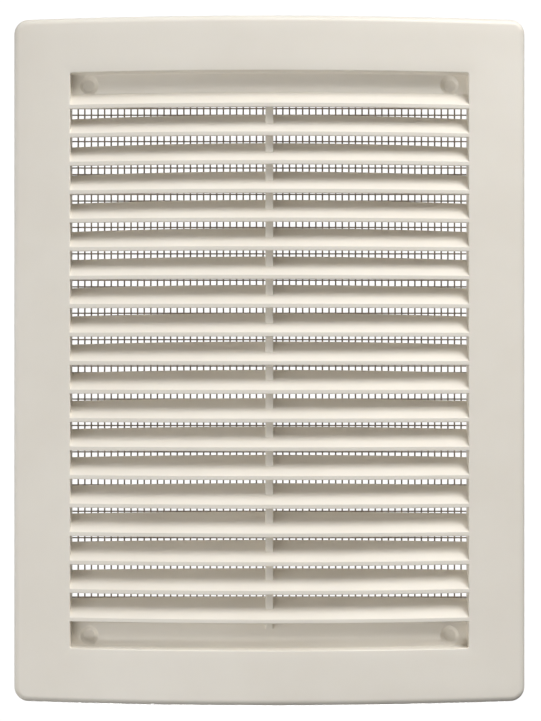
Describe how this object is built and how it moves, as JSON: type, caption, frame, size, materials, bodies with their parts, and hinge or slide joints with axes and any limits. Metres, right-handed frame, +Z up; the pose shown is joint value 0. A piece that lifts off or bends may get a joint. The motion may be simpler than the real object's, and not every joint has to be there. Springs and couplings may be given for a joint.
{
  "type": "louvred air grille",
  "caption": "Bow-fronted rectangular wall vent with fixed slanted louvre blades, recessed screw channels and a push-in insect net on its back.",
  "frame": {"origin": "middle of the grille on the wall plane, which is the plane of the back edge of the rim", "axes": "+Z up along the height, +X to the right seen from the front, +Y into the wall; the louvred front faces -Y"},
  "size_m": [0.18, 0.0163, 0.24],
  "materials": {
    "cream_plastic": "satin moulded ABS, warm off-white",
    "net_fibre": "dark grey-brown woven fibre net"
  },
  "bodies": {
    "louvre_body": {"front_frame": "cream_plastic", "left_side_wall": "cream_plastic", "right_side_wall": "cream_plastic", "top_screw_channel": "cream_plastic", "bottom_screw_channel": "cream_plastic", "centre_rib": "cream_plastic", "blade_01": "cream_plastic", "blade_02": "cream_plastic", "blade_03": "cream_plastic", "blade_04": "cream_plastic", "blade_05": "cream_plastic", "blade_06": "cream_plastic", "blade_07": "cream_plastic", "blade_08": "cream_plastic", "blade_09": "cream_plastic", "blade_10": "cream_plastic", "blade_11": "cream_plastic", "blade_12": "cream_plastic", "blade_13": "cream_plastic", "blade_14": "cream_plastic", "blade_15": "cream_plastic", "blade_16": "cream_plastic", "blade_17": "cream_plastic", "blade_18": "cream_plastic", "blade_19": "cream_plastic", "clip_left_1": "cream_plastic", "clip_left_2": "cream_plastic", "clip_left_3": "cream_plastic", "clip_right_1": "cream_plastic", "clip_right_2": "cream_plastic", "clip_right_3": "cream_plastic"},
    "net_insert": {"insect_net": "net_fibre", "net_insert_frame": "cream_plastic"}
  },
  "joints": [
    {"name": "net_insert_slide", "type": "slide", "parent": "louvre_body", "child": "net_insert", "axis": [0, 1, 0], "range_m": [0, 0.02]}
  ]
}
